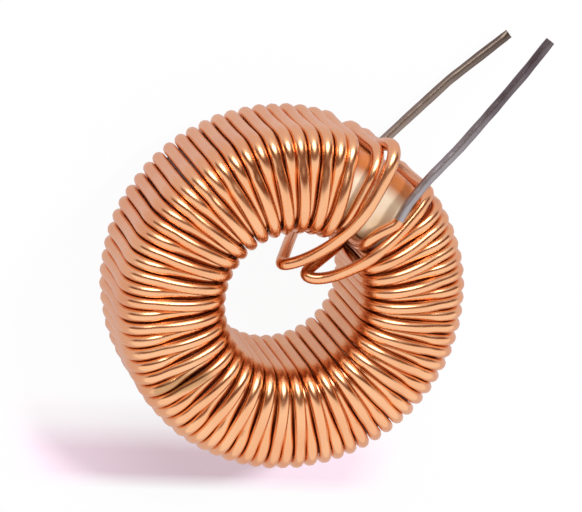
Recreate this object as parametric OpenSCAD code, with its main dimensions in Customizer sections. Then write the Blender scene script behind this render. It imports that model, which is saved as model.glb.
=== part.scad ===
// Toroidal inductor: one enamelled copper wire wound through a coated powder ring.
// The ring lies on its back face: the XY plane is what it rests on, and Z is its axis.
// Angles run anticlockwise from +X, seen from above.

/* [Core] */
// Outside diameter of the coated ring
core_outer_diameter = 27; // [26:0.1:28]
// Hole diameter of the coated ring
core_inner_diameter = 15; // [14.9:0.1:15.6]
// Height of the coated ring
core_height = 11; // [8:0.1:14]
// Rounding of the ring's four edges, which the wire bends over
core_corner_radius = 1.2; // [0.6:0.05:1.3]

/* [Wire] */
// Diameter of the wire over its enamel
wire_diameter = 0.96; // [0.7:0.01:0.98]
// Air between the wire and the coating of the core
wire_clearance = 0.02; // [0.01:0.01:0.05]
// Step from the first layer of turns to the second, in the hole and over its edges
layer_step = 0.86; // [0.75:0.01:0.9]

/* [Turns] */
// Turns that are pulled tight, between the loose first turn and the loose last one
tight_turns = 69; // [30:1:69]
// Angle at which the tight turns begin, in the hole
first_turn_angle = 57.8; // [57:0.2:62]
// Extra angle left open between the first tight turn and the second
first_turn_gap = 4.7; // [0:0.1:6]
// Angle at which the loose last turn passes through the hole
last_turn_angle = 393.2; // [388:0.1:393.8]

/* [Leads] */
// Diameter of the tinned wire ends
lead_diameter = 0.96; // [0.6:0.01:0.96]
// How far the first lead's tip stands out past the wire on the rim
start_lead_reach = 14.5; // [10:0.5:26]
// How far the last lead's tip stands out past the wire on the rim
finish_lead_reach = 15.5; // [6:0.5:30]

/* [Hidden] */
$fn = 32;
wire_radius = wire_diameter / 2;
// height of the core's middle: the second layer on the back face rests on z = 0
mid_height = core_height / 2 + wire_clearance + wire_diameter + layer_step;
// half the height of the core's sides between their rounded edges
flat_height = core_height / 2 - core_corner_radius;
// bend of the wire's centre line over an edge of the core
edge_bend = core_corner_radius + wire_clearance + wire_radius;
rim_radius = core_outer_diameter / 2 + wire_clearance + wire_radius;
bore_radius = core_inner_diameter / 2 - wire_clearance - wire_radius;
// height of a wire that lies on a face, above the core's middle
face_height = flat_height + edge_bend;
pitch = (last_turn_angle - first_turn_angle - first_turn_gap) / tight_turns;
// a ball or a sleeve stands this far out of the wire and joins two stretches of it
joint_margin = 0.01;
// each straight stops this short of the middle of a ball
joint_gap = 0.09;
// straight that follows a bend before the next joint
stub = 0.4;
short_stub = 0.15;
// slope of a leg that falls from the second layer to the first
fall_angle = 20;
// largest change of direction at one ball or one ring
joint_angle = 18;
// corners of a ring of a loose stretch
ring_corners = 12;

// the loose turns, by angle
first_rim_angle = 54.6;
last_rim_angle = 37.2;
finish_bore_angle = 39.6;
last_bore_point = bore_point(tight_turns);
// where the first lead leaves the hole on the back, its knee, and where its tin begins
hole_exit = polar(0.66 * bore_radius, 53, -face_height - 0.2 * wire_diameter);
start_knee = polar(1.582 * rim_radius, 43.55, -face_height);
start_joint = hole_exit + 0.51 * (start_knee - hole_exit);
// the last lead, level with a second wire on the face: its knee, where its tin begins, its bend
lead_height = face_height + wire_diameter;
finish_joint = polar(1.53 * bore_radius, 40.8, lead_height);
finish_bend = polar(1.75 * bore_radius, 43.3, lead_height);
finish_knee = finish_joint - 0.45 * unit(finish_bend - finish_joint);
// bend of each lead's centre line
lead_bend = 3;
// the snipped tip: angle of each of its two faces and half the land between them
snip_angle = 35;
snip_land = 0.1;

function start_tip() = polar(rim_radius + start_lead_reach, 41.8, -face_height);
function finish_tip() = polar(rim_radius + finish_lead_reach, 45.8, lead_height);
function polar(radius, angle, height = 0) = [radius * cos(angle), radius * sin(angle), height];
function unit(v) = v / norm(v);
function flat_angle(v) = atan2(v.y, v.x);

// the layer that a tight turn lies in where it passes through the hole, 0 or 1
function layer(turn) = turn % 2;
function bore_angle(turn) = first_turn_angle + turn * pitch + (turn > 0 ? first_turn_gap : 0);
function bore_point(turn) = polar(bore_radius - layer_step * layer(turn), bore_angle(turn));
function rim_point(turn) = polar(rim_radius, bore_angle(turn) + pitch / 2);

module wire(length, diameter = wire_diameter) {
    cylinder(d = diameter, h = length);
}

// a joint between two straights, its poles turned into the wire
module ball(point, way, diameter = wire_diameter) {
    translate(point)
        rotate([0, acos(unit(way).z), flat_angle(way)])
            sphere(d = diameter + 2 * joint_margin);
}

// a straight between two joints, stopped short of both
module straight(start, end, start_gap, end_gap, diameter = wire_diameter) {
    way = unit(end - start);
    translate(start + way * start_gap)
        rotate([0, acos(way.z), flat_angle(way)])
            wire(norm(end - start) - start_gap - end_gap, diameter);
}

// a quarter bend in the XZ plane about the origin, from straight up to flat
module quarter_bend(radius) {
    rotate([90, 0, 0])
        rotate_extrude(angle = 90)
            translate([radius, 0])
                circle(d = wire_diameter);
}

module flat_wire(start, length) {
    translate(start)
        rotate([0, 90, 0])
            wire(length);
}

// The wire over one face, from the hole at x = 0 to the rim at x = span. The origin is level
// with the centres of the core's rounded edges. A lifted leg leaves the hole in the second
// layer and falls to the first layer before it reaches the rim.
module face_leg(span, lift) {
    bore_bend = edge_bend + lift;
    rim_bend_x = span - edge_bend;
    for (x = [0, span])
        translate([x, 0, -stub])
            wire(stub);
    translate([bore_bend, 0, 0])
        rotate([0, 0, 180])
            quarter_bend(bore_bend);
    translate([rim_bend_x, 0, 0])
        quarter_bend(edge_bend);
    if (lift == 0)
        flat_wire([bore_bend, 0, bore_bend], rim_bend_x - bore_bend);
    else
        falling_wire([bore_bend, 0, bore_bend], [rim_bend_x, 0, edge_bend]);
}

module falling_wire(start, end) {
    low = end - [short_stub, 0, 0];
    run = min((start.z - end.z) / tan(fall_angle), low.x - start.x - short_stub);
    high = [low.x - run, 0, start.z];
    flat_wire(start, high.x - joint_gap - start.x);
    ball(high, low - start);
    straight(high, low, joint_gap, joint_gap);
    ball(low, end - high);
    flat_wire(low + [joint_gap, 0, 0], short_stub - joint_gap);
}

module front_leg(bore, rim, lift) {
    translate([bore.x, bore.y, mid_height + flat_height])
        rotate([0, 0, flat_angle(rim - bore)])
            face_leg(norm(rim - bore), lift);
}

module back_leg(bore, rim, lift) {
    translate([bore.x, bore.y, mid_height - flat_height])
        rotate([0, 0, flat_angle(rim - bore)])
            mirror([0, 0, 1])
                face_leg(norm(rim - bore), lift);
}

// the wire along the hole or the rim: a sleeve over the stubs of the legs above and below
module upright(point) {
    sleeve_height = 2 * (flat_height - short_stub);
    translate([point.x, point.y, mid_height - sleeve_height / 2])
        wire(sleeve_height, wire_diameter + 2 * joint_margin);
}

module tight_turn(turn) {
    next = turn + 1;
    front_leg(bore_point(turn), rim_point(turn), layer_step * layer(turn));
    back_leg(bore_point(next), rim_point(turn), layer_step * layer(next));
    upright(bore_point(turn));
    upright(rim_point(turn));
}

// Routes of the loose stretches: corners with the radius of the bend at each one. Heights are
// from the core's middle, and distances from the axis are given by the hole or the rim.
function first_turn_route() = [
    [start_joint, 0],
    [hole_exit, 1.2],
    [polar(0.43 * bore_radius, 108, 0.61 * face_height), 0.9],
    [polar(0.7 * bore_radius, 61, 0.85 * face_height), 5],
    [polar(1.16 * bore_radius, 51.5, face_height + 0.83 * wire_diameter), 4],
    [polar(1.1 * rim_radius, 55.2, face_height + 0.89 * wire_diameter), 2.2],
    [polar(rim_radius, first_rim_angle, -0.45 * face_height), 3],
    [polar(rim_radius, first_rim_angle, stub - flat_height), 0]
];
function last_turn_route() = [
    [last_bore_point - [0, 0, flat_height - stub], 0],
    [last_bore_point + [0, 0, 0.02 * face_height], 1.2],
    [polar(0.31 * bore_radius, 61, 0.55 * face_height), 0.7],
    [polar(0.5 * bore_radius, 24, 0.72 * face_height), 2],
    [polar(1.03 * bore_radius, 32.5, face_height + 1.25 * wire_diameter), 3],
    [polar(1.5 * bore_radius, 34.6, face_height + 0.54 * wire_diameter), 3],
    [polar(rim_radius, last_rim_angle, face_height), edge_bend],
    [polar(rim_radius, last_rim_angle, flat_height - stub), 0]
];
function finish_route() = [
    [polar(bore_radius, finish_bore_angle, flat_height - stub), 0],
    [polar(bore_radius, finish_bore_angle, 1.01 * face_height), edge_bend],
    [polar(1.25 * bore_radius, 45, face_height + 0.73 * wire_diameter), 1.5],
    [finish_knee, 0.7],
    [finish_joint, 0]
];

// the points of a route, with those that round its corners
function rounded(route) = [
    route[0][0],
    for (k = [1 : len(route) - 2])
        each arc_points(route[k - 1][0], route[k][0], route[k + 1][0], route[k][1]),
    route[len(route) - 1][0]
];
function arc_points(before, point, after, radius) = let (
    way_in = unit(point - before),
    way_out = unit(after - point),
    angle = acos(way_in * way_out),
    inward = unit(way_out - way_in * (way_in * way_out)),
    centre = point - way_in * radius * tan(angle / 2) + inward * radius,
    steps = ceil(angle / joint_angle)
) [
    for (step = [0 : steps])
        let (swept = angle * step / steps)
            centre + radius * (way_in * sin(swept) - inward * cos(swept))
];

// a loose stretch of wire: rings along the route, closed into one skin
module loose_wire(route) {
    points = rounded(route);
    last = len(points) - 1;
    ways = [
        for (k = [0 : last])
            unit(unit(points[min(k + 1, last)] - points[min(k, last - 1)])
                + unit(points[max(k, 1)] - points[max(k - 1, 0)]))
    ];
    sides = ring_sides(ways);
    translate([0, 0, mid_height])
        polyhedron(
            points = [
                for (k = [0 : last], corner = [0 : ring_corners - 1])
                    let (turned = corner * 360 / ring_corners)
                        points[k] + wire_radius * (sides[k] * cos(turned) + cross(ways[k], sides[k]) * sin(turned))
            ],
            faces = [
                [for (corner = [0 : ring_corners - 1]) corner],
                for (k = [0 : last - 1], corner = [0 : ring_corners - 1])
                    each ring_faces(k * ring_corners, corner, (corner + 1) % ring_corners),
                [for (corner = [ring_corners - 1 : -1 : 0]) last * ring_corners + corner]
            ]
        );
}

// a direction across the wire at each ring, carried along it without a twist
function ring_sides(ways) = [
    for (k = 0, side = across(ways[0], [1, 0, 1]); k < len(ways); k = k + 1, side = across(ways[min(k, len(ways) - 1)], side))
        side
];
function across(way, direction) = unit(direction - way * (way * direction));
function ring_faces(first, corner, next) = [
    [first + corner, first + ring_corners + corner, first + ring_corners + next],
    [first + corner, first + ring_corners + next, first + next]
];

// a tinned end: straights with a ball at each change of direction
module bent_lead(route) {
    points = rounded(route);
    last = len(points) - 1;
    translate([0, 0, mid_height]) {
        for (k = [1 : last])
            straight(points[k - 1], points[k], k == 1 ? 0 : joint_gap, k == last ? 0 : joint_gap,
                lead_diameter);
        for (k = [1 : last - 1])
            ball(points[k], unit(points[k + 1] - points[k]) + unit(points[k] - points[k - 1]),
                lead_diameter);
    }
}

module loose_first_turn() {
    start = polar(rim_radius, first_rim_angle);
    loose_wire(first_turn_route());
    short_sleeve(start);
    back_leg(bore_point(0), start, 0);
}

module loose_last_turn() {
    finish = polar(bore_radius, finish_bore_angle);
    loose_wire(last_turn_route());
    short_sleeve(last_bore_point);
    upright(polar(rim_radius, last_rim_angle));
    back_leg(finish, polar(rim_radius, last_rim_angle), 0);
    upright(finish);
    loose_wire(finish_route());
}

// joins a loose stretch to the stub of the back leg that it ends at
module short_sleeve(point) {
    translate([point.x, point.y, mid_height - flat_height + short_stub])
        wire(2 * stub, wire_diameter + 2 * joint_margin);
}

module core() {
    color("#e8dcb8")
        translate([0, 0, mid_height - core_height / 2])
            rotate_extrude($fn = 96)
                translate([core_inner_diameter / 2, 0])
                    rounded_section((core_outer_diameter - core_inner_diameter) / 2, core_height);
}

module rounded_section(width, height) {
    for (x = [core_corner_radius, width - core_corner_radius])
        for (y = [core_corner_radius, height - core_corner_radius])
            translate([x, y])
                circle(r = core_corner_radius);
    translate([core_corner_radius, 0])
        square([width - 2 * core_corner_radius, height]);
    translate([0, core_corner_radius])
        square([width, height - 2 * core_corner_radius]);
}

module winding() {
    color("#c87a45") {
        for (turn = [0 : tight_turns - 1])
            tight_turn(turn);
        loose_first_turn();
        loose_last_turn();
    }
}

// the tinned end of the first lead, which side cutters left as a blunt chisel
module lead_start() {
    tip = start_tip();
    color("#9a9a9e")
        difference() {
            bent_lead([[start_joint, 0], [start_knee, lead_bend], [tip, 0]]);
            translate([tip.x, tip.y, mid_height + tip.z])
                rotate([0, 0, flat_angle(tip - start_knee)])
                    for (side = [0, 1])
                        mirror([0, 0, side])
                            rotate([0, snip_angle, 0])
                                translate([-lead_diameter, -lead_diameter, snip_land])
                                    cube(2 * lead_diameter);
        }
}

// the tinned end of the last lead, cut square
module lead_finish() {
    color("#b4b4b8")
        bent_lead([[finish_joint, 0], [finish_bend, lead_bend], [finish_tip(), 0]]);
}

core();
winding();
lead_start();
lead_finish();
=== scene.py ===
import math
import random

import bpy
from mathutils import Matrix, Vector


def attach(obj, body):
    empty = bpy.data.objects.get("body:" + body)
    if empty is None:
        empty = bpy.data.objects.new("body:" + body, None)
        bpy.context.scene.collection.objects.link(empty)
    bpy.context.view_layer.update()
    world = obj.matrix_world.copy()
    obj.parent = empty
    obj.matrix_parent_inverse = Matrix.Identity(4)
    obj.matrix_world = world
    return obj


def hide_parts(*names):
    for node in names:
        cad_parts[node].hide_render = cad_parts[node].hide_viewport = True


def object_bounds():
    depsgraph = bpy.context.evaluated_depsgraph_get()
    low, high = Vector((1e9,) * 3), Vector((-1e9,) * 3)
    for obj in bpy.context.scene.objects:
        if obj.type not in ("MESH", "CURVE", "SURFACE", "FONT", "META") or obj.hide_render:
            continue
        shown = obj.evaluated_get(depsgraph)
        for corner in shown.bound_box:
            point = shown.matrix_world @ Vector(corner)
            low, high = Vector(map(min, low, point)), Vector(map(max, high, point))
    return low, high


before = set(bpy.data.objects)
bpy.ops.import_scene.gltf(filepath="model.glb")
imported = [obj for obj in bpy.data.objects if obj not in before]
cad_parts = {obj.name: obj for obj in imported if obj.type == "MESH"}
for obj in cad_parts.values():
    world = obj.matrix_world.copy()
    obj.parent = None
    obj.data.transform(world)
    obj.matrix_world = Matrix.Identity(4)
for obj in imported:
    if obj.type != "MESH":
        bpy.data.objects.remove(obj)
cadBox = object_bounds()
bpy.ops.object.select_all(action="DESELECT")
print("frame loaded")

mm = 0.001
random.seed(27)

# sizes of the wound ring in mm, angles in degrees; heights are from the core's middle
ring = {
    "midHeight": 7.34,       # the core's middle above the floor
    "wireDiameter": 0.98,    # over the enamel and its varnish
    "rimVarnish": 0.055,     # more of it round the wire on the rim, where the turns lie in one row
    "rimFrom": 13.0,         # the rim begins at this radius
    "rimRadius": 14.0,       # wire centre along the rim
    "boreRadius": 7.0,       # wire centre of the first layer in the hole
    "layerStep": 0.86,       # from the first layer to the second, in the hole
    "turns": 69,             # tight turns
    "firstAngle": 57.8,      # of the tight turns, in the hole
    "firstGap": 4.7,         # left open after the first of them
    "lastAngle": 393.2,
    "firstRimAngle": 54.6,   # where the loose first turn passes over the rim
    "lastRimAngle": 37.2,    # and the loose last one
    "finishBoreAngle": 39.6,     # where the wire comes up through the hole to the last lead
}
pitch = (ring["lastAngle"] - ring["firstAngle"] - ring["firstGap"]) / ring["turns"]


def polar(radius, angle, height=0.0):
    turned = math.radians(angle)
    return Vector((radius * math.cos(turned), radius * math.sin(turned), height))


def linear(hexColour):
    # sRGB hex to the linear values that sockets take
    values = [int(hexColour[i:i + 2], 16) / 255 for i in (1, 3, 5)]
    return [v / 12.92 if v <= 0.04045 else ((v + 0.055) / 1.055) ** 2.4 for v in values] + [1.0]


def addNode(tree, kind, settings=None, links=None):
    # one node with its settings, and its links as input name: output socket
    node = tree.nodes.new(kind)
    for name, value in (settings or {}).items():
        if isinstance(name, str) and hasattr(node, name):
            setattr(node, name, value)
        else:
            node.inputs[name].default_value = value
    for name, socket in (links or {}).items():
        tree.links.new(socket, node.inputs[name])
    return node


def addRamp(tree, factor, stops):
    # a colour ramp from (position, linear colour) stops
    ramp = addNode(tree, "ShaderNodeValToRGB", links={"Fac": factor})
    elements = ramp.color_ramp.elements
    while len(elements) < len(stops):
        elements.new(1.0)
    for element, (position, colour) in zip(elements, stops):
        element.position, element.color = position, colour
    return ramp.outputs["Color"]


def newMaterial(name):
    material = bpy.data.materials.new(name)
    material.use_nodes = True
    material.node_tree.nodes.clear()
    return material, material.node_tree


def finishMaterial(material, shader):
    output = addNode(material.node_tree, "ShaderNodeOutputMaterial")
    material.node_tree.links.new(shader.outputs[0], output.inputs["Surface"])
    return material


# how the tight turns bend and wander, in mm and degrees
winding = {
    "faceHeight": 5.96,      # wire centre over the core's faces
    "rimBend": 2.45,         # the stiff wire's bend over the rim, wider than the core's edge
    "boreBend": 1.85,        # and over the edge of the hole
    "bulge": 0.2,            # how far the wire stands off the core on its bends
    "fallStart": 9.2,        # the second layer falls to the first between these radii
    "fallEnd": 12.2,
    "rimSway": 0.16,         # turns lean and wander this much
    "boreSway": 0.3,
    "backSway": 0.4,         # the back's own lean, as a share of the front's
    "firstLean": 0.2,        # the first tight turn leans back by this much on the rim
    "swayHeight": 0.04,
    "beforeBend": (2.2, 0.7),            # control points on a straight, from the start of its bend
    "rimSteps": (8, 26, 45, 64, 82),     # round the rim's bend, from upright to flat
    "faceRadii": (11.2, 10.5, 9.8),      # over the face
    "boreSteps": (90, 68, 45, 22, 0),    # and round the bend into the hole
    "tinTaper": (0.48, 0.47, 0.46, 0.45),    # radii where the strand slims into the last lead's tin
    "sides": 12,             # of the wire's section
}


def halfLeg(rimAngle, boreAngle, upper, side):
    # control points from the rim's straight to the hole's, over one face (side 1 front, -1 back)
    rim, bore, top = ring["rimRadius"], ring["boreRadius"], winding["faceHeight"]
    bend, bulge = winding["rimBend"], winding["bulge"] + random.uniform(-1, 1) * winding["swayHeight"]
    lift = ring["layerStep"] if upper else 0.0
    sway = random.uniform(-1, 1) * winding["swayHeight"]
    far, near = winding["beforeBend"]
    profile = [(rim, top - bend - far), (rim + 0.4 * bulge, top - bend - near)]
    for degrees in winding["rimSteps"]:
        turned = math.radians(degrees)
        swept = bend + bulge * (0.45 + 0.55 * math.sin(2 * turned))  # fullest halfway round
        profile.append((rim - bend + swept * math.cos(turned), top - bend + swept * math.sin(turned)))
    for radius in winding["faceRadii"]:
        fall = min(1.0, (winding["fallEnd"] - radius) / (winding["fallEnd"] - winding["fallStart"]))
        profile.append((radius, top + sway + lift * math.sin(fall * math.pi / 2)))
    boreEnd = bore - lift
    bend = winding["boreBend"] + lift
    for degrees in winding["boreSteps"]:
        turned = math.radians(degrees)
        profile.append((boreEnd + bend * (1 - math.cos(turned)), top + lift - bend * (1 - math.sin(turned))))
    profile.append((boreEnd, top + lift - bend - near))
    profile.append((boreEnd, top + lift - bend - far))
    start, end = polar(rim, rimAngle), polar(boreEnd, boreAngle)
    points = []
    for radius, height in profile:
        spot = start.lerp(end, (rim - radius) / (rim - boreEnd))
        points.append(Vector((spot.x, spot.y, side * height)))
    return points


# the loose stretches in mm from the core's middle: the first lead's wire comes along the back,
# through the hole and back over the front; the last turn hangs in the hole the same way
firstTurn = [Vector(p) for p in (
    (9.549, 9.590, -6.094), (8.0, 8.23, -6.11), (6.2, 6.67, -6.13), (4.6, 5.27, -6.16),
    (3.6, 4.4, -6.17), (2.95, 3.82, -6.05), (2.5, 3.57, -5.4), (2.15, 3.48, -4.4),
    (1.2, 3.3, -2.0), (0.3, 3.17, 0.4), (-0.4, 3.05, 2.3), (-0.86, 2.96, 3.35),
    (-0.75, 3.0, 4.0), (-0.1, 3.15, 4.25), (0.9, 3.5, 4.5), (2.1, 4.2, 5.0),
    (3.35, 5.25, 5.75), (4.3, 6.3, 6.5), (5.05, 7.35, 6.9), (5.75, 8.45, 7.1),
    (6.45, 9.7, 7.1), (7.1, 10.9, 7.05), (7.6, 11.85, 6.8), (7.95, 12.6, 6.1),
    (8.05, 12.8, 4.9), (7.95, 12.45, 3.2), (8.1, 11.85, 1.2))]
lastTurn = [Vector(p) for p in (
    (5.14, 3.36, -0.9), (5.1, 3.36, -0.3), (4.7, 3.2, 0.35), (3.6, 2.87, 1.3),
    (2.3, 2.45, 2.4), (1.5, 2.15, 3.05), (1.1, 1.9, 3.55), (1.6, 1.62, 3.85),
    (2.4, 1.62, 4.05), (3.3, 1.85, 4.45), (4.3, 2.45, 5.2), (5.1, 3.1, 6.0),
    (5.75, 3.7, 6.6), (6.4, 4.3, 6.85), (7.3, 5.0, 6.8), (8.2, 5.7, 6.6),
    (9.2, 6.6, 6.35), (10.1, 7.45, 6.15))]
lastTurn += [
    polar(13.0, 37.4, 5.95), polar(13.75, 37.3, 5.35), polar(14.15, 37.2, 4.4), polar(14.1, 37.2, 2.8)]
lastStrand = [
    polar(7.0, 39.6, 1.5), polar(7.0, 39.6, 3.6), polar(7.05, 39.8, 4.9), polar(7.35, 40.6, 5.75)]
lastStrand += [Vector(p) for p in (
    (5.8, 5.1, 6.15), (6.1, 5.5, 6.42), (6.55, 5.9, 6.62), (7.1, 6.22, 6.78), (7.6, 6.48, 6.9),
    (7.88, 6.66, 6.94), (8.0, 6.81, 6.96), (8.107, 6.998, 6.96))]


def windingRoute():
    # the whole wire as one run of points, from the first lead's tin to the last lead's
    rimSways = [random.uniform(-1, 1) * winding["rimSway"] for _ in range(2 * ring["turns"])]
    boreSways = [random.uniform(-1, 1) * winding["boreSway"] for _ in range(ring["turns"] + 1)]
    angles = [ring["firstAngle"] + k * pitch + (ring["firstGap"] if k else 0)
              for k in range(ring["turns"] + 1)]
    run = firstTurn + halfLeg(ring["firstRimAngle"], angles[0], False, -1)
    for k in range(ring["turns"]):
        rimAngle = angles[k] + pitch / 2 + rimSways[2 * k] - (0 if k else winding["firstLean"])
        backAngle = rimAngle + rimSways[2 * k + 1] * winding["backSway"]
        run += reversed(halfLeg(rimAngle, angles[k] + boreSways[k], k % 2 == 1, 1))
        run += halfLeg(backAngle, angles[k + 1], (k + 1) % 2 == 1, -1)
    return run + lastTurn + halfLeg(ring["lastRimAngle"], ring["finishBoreAngle"], False, -1) + lastStrand


def wireMesh(name, points, radii, sides):
    # sweeps a round section along the points and returns the mesh object
    bpy.ops.curve.primitive_nurbs_path_add()
    piece = bpy.context.object
    piece.name = name
    curve = piece.data
    curve.splines.clear()
    spline = curve.splines.new("NURBS")
    spline.points.add(len(points) - 1)
    for point, spot, radius in zip(spline.points, points, radii):
        point.co = (spot.x * mm, spot.y * mm, (spot.z + ring["midHeight"]) * mm, 1)
        point.radius = radius
    spline.order_u = 4
    spline.use_endpoint_u = True
    spline.resolution_u = 3
    curve.dimensions = "3D"
    curve.bevel_depth = mm  # so that a point's radius is in mm
    curve.bevel_resolution = (sides - 4) // 2
    curve.use_fill_caps = True
    bpy.ops.object.convert(target="MESH")
    bpy.ops.object.mode_set(mode="EDIT")
    bpy.ops.mesh.select_all(action="SELECT")
    bpy.ops.mesh.remove_doubles(threshold=0.000001)
    bpy.ops.mesh.normals_make_consistent(inside=False)
    bpy.ops.object.mode_set(mode="OBJECT")
    bpy.ops.object.shade_smooth_by_angle(angle=math.radians(50))
    bpy.ops.object.select_all(action="DESELECT")
    return piece


# the enamel's colours and gloss; lengths in metres
enamel = {
    "deep": "#f4ba8c",
    "clear": "#fbca9e",
    "toneScale": 160.0,      # the enamel's tone drifts over about 6 mm
    "scuffScale": 700.0,     # scuffs of about 1.4 mm
    "cleanRoughness": 0.2,
    "scuffedRoughness": 0.3,
    "glossWeight": 0.35,     # the thin gloss that the enamel lays over the metal
    "glossRoughness": 0.18,
    "glossTint": "#fff0dc",
    "smear": "#8f7440",      # old flux on one turn
    "smearShare": 0.5,
    "smearFrom": (-0.0125, -0.00667, 0.0137),
    "smearTo": (-0.0074, -0.00474, 0.0142),
    "smearWidth": (0.0005, 0.0008),      # it fades out between these, away from its line
    "smearReach": (0.0021, 0.0029),      # and along it, away from its middle
}


# copper magnet wire under clear polyurethane enamel: drawn smooth, so a bright metal that
# mirrors softly, with a thin gloss over it and a warmer tone where the enamel is thicker
def magnetWire():
    material, tree = newMaterial("enamelledCopper")
    place = addNode(tree, "ShaderNodeTexCoord").outputs["Object"]
    tone = addNode(tree, "ShaderNodeTexNoise", {"Scale": enamel["toneScale"], "Detail": 2.0},
                   {"Vector": place})
    colour = addRamp(tree, tone.outputs["Fac"],
                     [(0.35, linear(enamel["deep"])), (0.66, linear(enamel["clear"]))])
    start, end = Vector(enamel["smearFrom"]), Vector(enamel["smearTo"])
    reach = addNode(tree, "ShaderNodeVectorMath", {"operation": "SUBTRACT", 1: start}, {0: place})
    aside = addNode(tree, "ShaderNodeVectorMath",
                    {"operation": "CROSS_PRODUCT", 1: (end - start).normalized()}, {0: reach.outputs[0]})
    off = addNode(tree, "ShaderNodeVectorMath", {"operation": "LENGTH"}, {0: aside.outputs[0]})
    ends = addNode(tree, "ShaderNodeVectorMath", {"operation": "DISTANCE", 1: (start + end) / 2}, {0: place})
    near = addNode(tree, "ShaderNodeMapRange",
                   {"From Min": enamel["smearWidth"][0], "From Max": enamel["smearWidth"][1],
                    "To Min": enamel["smearShare"], "To Max": 0.0},
                   {"Value": off.outputs["Value"]})
    within = addNode(tree, "ShaderNodeMapRange",
                     {"From Min": enamel["smearReach"][0], "From Max": enamel["smearReach"][1],
                      "To Min": 1.0, "To Max": 0.0},
                     {"Value": ends.outputs["Value"]})
    smeared = addNode(tree, "ShaderNodeMath", {"operation": "MULTIPLY"},
                      {0: near.outputs["Result"], 1: within.outputs["Result"]})
    enamelled = addNode(tree, "ShaderNodeMix", {"data_type": "RGBA", 7: linear(enamel["smear"])},
                        {0: smeared.outputs[0], 6: colour})
    scuff = addNode(tree, "ShaderNodeTexNoise", {"Scale": enamel["scuffScale"], "Detail": 3.0},
                    {"Vector": place})
    gloss = addNode(tree, "ShaderNodeMapRange",
                    {"From Min": 0.35, "From Max": 0.7,
                     "To Min": enamel["cleanRoughness"], "To Max": enamel["scuffedRoughness"]},
                    {"Value": scuff.outputs["Fac"]})
    shader = addNode(tree, "ShaderNodeBsdfPrincipled",
                     {"Metallic": 1.0, "Coat Weight": enamel["glossWeight"],
                      "Coat Roughness": enamel["glossRoughness"], "Coat Tint": linear(enamel["glossTint"])},
                     {"Base Color": enamelled.outputs[2], "Roughness": gloss.outputs["Result"]})
    return finishMaterial(material, shader)


route = windingRoute()
wireRadii = [ring["wireDiameter"] / 2 + (ring["rimVarnish"] if spot.xy.length > ring["rimFrom"] else 0)
             for spot in route]
wireRadii[-len(winding["tinTaper"]):] = winding["tinTaper"]
wire = wireMesh("magnetWire", route, wireRadii, winding["sides"])
wire.data.materials.clear()
wire.data.materials.append(magnetWire())
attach(wire, "root")
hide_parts("winding")
print("wire wound:", len(route), "points,", len(wire.data.polygons), "faces")


# the tinned leads: sizes and routes in mm from the core's middle, and the finish in metres
leads = {
    "diameter": 0.85,
    "solderSwell": 0.035,    # how much the tin varies the radius
    "spacing": 0.6,          # of the points that carry it
    "sides": 16,
    "snipLength": 0.55,      # of the first lead's chisel tip
    "snipLand": 0.22,        # thickness left at its edge, as a share of the wire
    "start": [(9.549, 9.590, -6.094), (12.4, 12.1, -6.06), (16.05, 15.26, -6.0), (18.6, 17.1, -6.0),
              (21.246, 18.996, -6.0)],
    "finish": [(8.107, 6.998, 6.96), (8.86, 8.3, 6.96), (10.65, 10.35, 6.96), (13.1, 12.7, 6.96),
               (16.0, 15.85, 6.96), (18.5, 18.65, 6.96), (20.567, 21.149, 6.96)],
    "startTin": ("#5e544d", "#a0948a"),      # darkest and lightest
    "finishTin": ("#5a5056", "#b0aeb2"),
    "bareCopper": "#b98a70",     # beside the enamel, where the dip ended
    "dipEdge": (0.0003, 0.0007),
    "dipCreep": 0.0012,      # how unevenly that edge runs
    "dullReach": 0.014,      # the tin is brightest at the enamel and dullest from here on
    "stainScale": 350.0,     # stains of about 3 mm
    "rippleScale": 1100.0,   # ripples of about 1 mm in the tin
    "roughness": 0.36,
}


# copper dipped in a solder pot: dull grey, slightly rippled, its edge creeping unevenly up
# the copper where the dip ended
def tinnedCopper(name, dark, light, joint):
    material, tree = newMaterial(name)
    place = addNode(tree, "ShaderNodeTexCoord").outputs["Object"]
    stain = addNode(tree, "ShaderNodeTexNoise",
                    {"Scale": leads["stainScale"], "Detail": 4.0, "Roughness": 0.6}, {"Vector": place})
    away = addNode(tree, "ShaderNodeVectorMath", {"operation": "DISTANCE", 1: joint}, {0: place})
    bright = addNode(tree, "ShaderNodeMapRange",
                     {"From Min": 0.0, "From Max": leads["dullReach"], "To Min": 0.75, "To Max": 0.1},
                     {"Value": away.outputs["Value"]})
    tone = addNode(tree, "ShaderNodeMath", {"operation": "MULTIPLY_ADD", 1: 0.5},
                   {0: stain.outputs["Fac"], 2: bright.outputs["Result"]})
    tin = addRamp(tree, tone.outputs[0], [(0.25, linear(dark)), (0.95, linear(light))])
    creep = addNode(tree, "ShaderNodeMath", {"operation": "MULTIPLY_ADD", 1: leads["dipCreep"]},
                    {0: stain.outputs["Fac"], 2: away.outputs["Value"]})
    edge = addNode(tree, "ShaderNodeMapRange",
                   {"From Min": leads["dipEdge"][0], "From Max": leads["dipEdge"][1]},
                   {"Value": creep.outputs[0]})
    colour = addNode(tree, "ShaderNodeMix", {"data_type": "RGBA", 6: linear(leads["bareCopper"])},
                     {0: edge.outputs["Result"], 7: tin})
    ripple = addNode(tree, "ShaderNodeTexNoise", {"Scale": leads["rippleScale"], "Detail": 3.0},
                     {"Vector": place})
    bump = addNode(tree, "ShaderNodeBump", {"Strength": 0.2, "Distance": 0.00008},
                   {"Height": ripple.outputs["Fac"]})
    shader = addNode(tree, "ShaderNodeBsdfPrincipled", {"Metallic": 1.0, "Roughness": leads["roughness"]},
                     {"Base Color": colour.outputs[2], "Normal": bump.outputs["Normal"]})
    return finishMaterial(material, shader)


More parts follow.
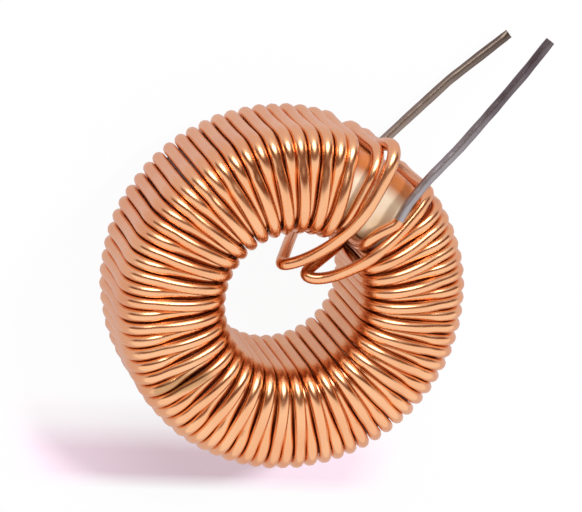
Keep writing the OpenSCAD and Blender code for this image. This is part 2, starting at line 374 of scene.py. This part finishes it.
def leadPoints(spots):
    # even points along straights between the given spots
    points = []
    for start, end in zip(spots, spots[1:]):
        steps = max(1, round((end - start).length / leads["spacing"]))
        points += [start.lerp(end, k / steps) for k in range(steps)]
    return points + [spots[-1]]


def leadRadii(count):
    # mostly thinner than the nominal size, with a low swell here and there
    radius = leads["diameter"] / 2
    return [radius + leads["solderSwell"] * random.uniform(-1.0, 0.2) for _ in range(count)]


def snipTip(piece, tip, way):
    # side cutters pinch the end to a blunt edge that lies level
    level = (tip.z + ring["midHeight"]) * mm
    for vertex in piece.data.vertices:
        back = (Vector((tip.x, tip.y, 0)) - Vector((vertex.co.x, vertex.co.y, 0)) / mm).dot(way)
        if back < leads["snipLength"]:
            share = leads["snipLand"] + (1 - leads["snipLand"]) * max(back, 0) / leads["snipLength"]
            vertex.co.z = level + (vertex.co.z - level) * share


for name, node, key in (
        ("tinnedLeadStart", "lead_start", "start"),
        ("tinnedLeadFinish", "lead_finish", "finish")):
    spots = [Vector(spot) for spot in leads[key]]
    points = leadPoints(spots)
    lead = wireMesh(name, points, leadRadii(len(points)), leads["sides"])
    if key == "start":
        snipTip(lead, spots[-1], (spots[-1] - spots[-2]).normalized())
    joint = (spots[0] + Vector((0, 0, ring["midHeight"]))) * mm
    dark, light = leads[key + "Tin"]
    lead.data.materials.clear()
    lead.data.materials.append(tinnedCopper(name + "Tin", dark, light, joint))
    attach(lead, "root")
    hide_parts(node)
print("leads made")


# the coat is bare between these angles, beside the leads; under the turns it is painted dark, a painted shade
# for the deep grooves between the wires
coat = {
    "bareFrom": 35.0,
    "bareTo": 67.0,
    "pale": "#efe3cf",
    "shade": "#dfcba6",
    # painted shade: the dark colour under the turns, for the shadowed grooves between the wires
    "paintedGapShade": "#8a3c1e",
    "rimAmber": "#b06a38",    # amber towards the rim's edge
    "amberRadii": (0.0114, 0.0124),  # the amber sets in between these, in metres
    "grainScale": 1500.0,    # pebbles of about 0.7 mm
    "stainScale": 220.0,     # stains of about 4.5 mm
    "roughness": 0.32,
}


# pressed powder ring with a baked epoxy coat: satin cream and finely pebbled, and painted dark under the
# turns as painted shade for the grooves between the wires
def coreCoat():
    material, tree = newMaterial("epoxyCoat")
    place = addNode(tree, "ShaderNodeTexCoord").outputs["Object"]
    grain = addNode(tree, "ShaderNodeTexNoise", {"Scale": coat["grainScale"], "Detail": 3.0},
                    {"Vector": place})
    stain = addNode(tree, "ShaderNodeTexNoise", {"Scale": coat["stainScale"], "Detail": 3.0},
                    {"Vector": place})
    cream = addRamp(tree, stain.outputs["Fac"], [(0.3, linear(coat["shade"])), (0.7, linear(coat["pale"]))])
    split = addNode(tree, "ShaderNodeSeparateXYZ", links={"Vector": place})
    angle = addNode(tree, "ShaderNodeMath", {"operation": "ARCTAN2"},
                    {0: split.outputs["Y"], 1: split.outputs["X"]})
    middle = math.radians((coat["bareFrom"] + coat["bareTo"]) / 2)
    half = math.radians((coat["bareTo"] - coat["bareFrom"]) / 2)
    off = addNode(tree, "ShaderNodeMath", {"operation": "SUBTRACT", 1: middle}, {0: angle.outputs[0]})
    away = addNode(tree, "ShaderNodeMath", {"operation": "ABSOLUTE"}, {0: off.outputs[0]})
    # painted shade everywhere under the turns, away from the bare angles beside the leads
    paintedGapShade = addNode(tree, "ShaderNodeMapRange", {"From Min": half - 0.03, "From Max": half + 0.05},
                     {"Value": away.outputs[0]})
    flat = addNode(tree, "ShaderNodeVectorMath", {"operation": "MULTIPLY", 1: (1, 1, 0)}, {0: place})
    radius = addNode(tree, "ShaderNodeVectorMath", {"operation": "LENGTH"}, {0: flat.outputs[0]})
    ran = addNode(tree, "ShaderNodeMapRange",
                  {"From Min": coat["amberRadii"][0], "From Max": coat["amberRadii"][1]},
                  {"Value": radius.outputs["Value"]})
    amber = addNode(tree, "ShaderNodeMix", {"data_type": "RGBA", 7: linear(coat["rimAmber"])},
                    {0: ran.outputs["Result"], 6: cream})
    colour = addNode(tree, "ShaderNodeMix", {"data_type": "RGBA", 7: linear(coat["paintedGapShade"])},
                     {0: paintedGapShade.outputs["Result"], 6: amber.outputs[2]})
    bump = addNode(tree, "ShaderNodeBump", {"Strength": 0.3, "Distance": 0.00005},
                   {"Height": grain.outputs["Fac"]})
    shader = addNode(tree, "ShaderNodeBsdfPrincipled", {"Roughness": coat["roughness"]},
                     {"Base Color": colour.outputs[2], "Normal": bump.outputs["Normal"]})
    return finishMaterial(material, shader)


epoxyCoat = coreCoat()
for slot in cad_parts["core"].material_slots:
    slot.material = epoxyCoat
print("core coated")


# the paper's colour, and where the floor keeps its shadow; lengths in metres
paper = {
    "size": 1.6,
    "colour": "#ebdeee",
    "shadowShare": 0.97,     # of the floor's own shading that the camera sees, in the shadow
    "washedShare": 0.05,     # and elsewhere, where the paper looks plain white
    "shadowAcross": (0.12, 0.99, 0),     # the shadow's width is measured this way
    "shadowBand": (-0.0209, -0.0125),    # from its near edge to its far one
    "shadowStops": [(0.0, 0.0), (0.18, 1.0), (0.42, 1.0), (0.7, 0.3), (1.0, 0.0)],
    "shadowMiddle": (-0.005, -0.0125, 0),
    "shadowReach": (0.0145, 0.0185),     # it fades out between these, away from its middle
    "paintedMirrorGlow": "#f5e2e2",   # painted reflection: a fixed pale glow that the wires mirror in place of the lit paper
    "paintedMirrorGlowStrength": 0.78,
    "mirrorShare": 0.1,      # of its own lamp-lit shading mixed into that painted reflection
}


# a sheet of matte white paper that glows plain white to the camera but for the band beside the ring, where
# its lamp-cast shadow shows; the wires mirror a painted reflection of it, a fixed pale glow
def paperFloor():
    material, tree = newMaterial("whitePaper")
    place = addNode(tree, "ShaderNodeTexCoord").outputs["Object"]
    path = addNode(tree, "ShaderNodeLightPath")
    matte = addNode(tree, "ShaderNodeBsdfDiffuse", {"Color": linear(paper["colour"])})
    white = addNode(tree, "ShaderNodeEmission", {"Color": (1, 1, 1, 1), "Strength": 1.0})
    # painted reflection: the glow the wires see in the paper, in place of its lamp-lit shading
    paintedMirrorGlow = addNode(tree, "ShaderNodeEmission",
                       {"Color": linear(paper["paintedMirrorGlow"]), "Strength": paper["paintedMirrorGlowStrength"]})
    across = addNode(tree, "ShaderNodeVectorMath", {"operation": "DOT_PRODUCT", 1: paper["shadowAcross"]},
                     {0: place})
    band = addNode(tree, "ShaderNodeMapRange",
                   {"From Min": paper["shadowBand"][0], "From Max": paper["shadowBand"][1]},
                   {"Value": across.outputs["Value"]})
    strip = addRamp(tree, band.outputs["Result"],
                    [(position, (grey, grey, grey, 1)) for position, grey in paper["shadowStops"]])
    away = addNode(tree, "ShaderNodeVectorMath", {"operation": "DISTANCE", 1: paper["shadowMiddle"]},
                   {0: place})
    near = addNode(tree, "ShaderNodeMapRange",
                   {"From Min": paper["shadowReach"][0], "From Max": paper["shadowReach"][1],
                    "To Min": 1.0, "To Max": 0.0},
                   {"Value": away.outputs["Value"]})
    shaded = addNode(tree, "ShaderNodeMath", {"operation": "MULTIPLY"}, {0: strip, 1: near.outputs["Result"]})
    share = addNode(tree, "ShaderNodeMapRange",
                    {"To Min": 1 - paper["washedShare"], "To Max": 1 - paper["shadowShare"]},
                    {"Value": shaded.outputs[0]})
    seen = addNode(tree, "ShaderNodeMath", {"operation": "MULTIPLY"},
                   {0: path.outputs["Is Camera Ray"], 1: share.outputs["Result"]})
    glossy = addNode(tree, "ShaderNodeMath", {"operation": "MULTIPLY", 1: 1 - paper["mirrorShare"]},
                     {0: path.outputs["Is Glossy Ray"]})
    toCamera = addNode(tree, "ShaderNodeMixShader",
                       links={0: seen.outputs[0], 1: matte.outputs[0], 2: white.outputs[0]})
    toWires = addNode(tree, "ShaderNodeMixShader",
                      links={0: glossy.outputs[0], 1: toCamera.outputs[0], 2: paintedMirrorGlow.outputs[0]})
    return finishMaterial(material, toWires)


bpy.ops.mesh.primitive_plane_add(size=paper["size"], location=(0, 0, cadBox[0][2]))
floor = bpy.context.object
floor.name = "floor"
floor.data.materials.append(paperFloor())
print("floor laid")

# camera, lamps and room; ways point from the ring's middle, lengths in metres
studio = {
    "cameraWay": (-0.223, 0.292, 0.930),
    "cameraDistance": 0.25,
    "imageRight": (0.972, 0.0, 0.233),
    "lens": 186.3,
    "shift": (0.0172, 0.0508),
    "lampDistance": 0.6,
    "softboxWay": (-0.03, 0.84, 0.54),
    "softboxSize": (0.52, 0.29),
    "softboxPower": 2.0,
    "softboxColour": (1, 0.96, 0.9),
    "overheadWay": (0.48, 0.4, 0.78),
    "overheadSize": (0.1, 0.1),
    "overheadPower": 2.1,
    "overheadColour": (1, 1, 1),
    "room": [                # what the wires mirror, from the wall before the ring to the one behind
        (0.0, (1.0, 0.95, 0.97, 1)), (0.54, (1.06, 1.0, 0.98, 1)),       # white walls
        (0.605, (0.19, 0.06, 0.02, 1)), (0.76, (0.15, 0.045, 0.015, 1)),     # a dark ceiling
        (0.83, (0.6, 0.52, 0.52, 1)), (0.9, (0.85, 0.79, 0.82, 1))],
}
centre = Vector((0, 0, ring["midHeight"] * mm))


def areaLight(name):
    # an oval lamp that faces the ring
    place = Vector(studio[name + "Way"]).normalized() * studio["lampDistance"]
    bpy.ops.object.light_add(type="AREA", location=centre + place)
    light = bpy.context.object
    light.name = name
    light.data.shape = "ELLIPSE"
    light.data.size, light.data.size_y = studio[name + "Size"]
    light.data.energy = studio[name + "Power"]
    light.data.color = studio[name + "Colour"]
    light.rotation_euler = (-place).to_track_quat("-Z", "Y").to_euler()
    return light


areaLight("softbox")
areaLight("overhead").visible_glossy = False  # it throws the shadow, and its glints would dot the wires

world = bpy.data.worlds.new("studioRoom")
bpy.context.scene.world = world
world.use_nodes = True
room = world.node_tree
direction = addNode(room, "ShaderNodeTexCoord")
parts = addNode(room, "ShaderNodeSeparateXYZ", links={"Vector": direction.outputs["Generated"]})
along = addNode(room, "ShaderNodeMapRange", {"From Min": -1.0, "From Max": 1.0},
                {"Value": parts.outputs["Y"]})
walls = addRamp(room, along.outputs["Result"], studio["room"])
room.links.new(walls, room.nodes["Background"].inputs["Color"])
room.nodes["Background"].inputs["Strength"].default_value = 1.0

side = Vector(studio["cameraWay"]).normalized()
right = Vector(studio["imageRight"]).normalized()
up = side.cross(right)
bpy.ops.object.camera_add(location=centre + side * studio["cameraDistance"])
camera = bpy.context.object
camera.rotation_euler = Matrix((right, up, side)).transposed().to_euler()
camera.data.lens = studio["lens"]
camera.data.sensor_width = 36
camera.data.shift_x, camera.data.shift_y = studio["shift"]
camera.data.clip_start = 0.01
camera.data.dof.use_dof = False
bpy.context.scene.camera = camera
bpy.context.scene.view_settings.view_transform = "Standard"
print("studio set")
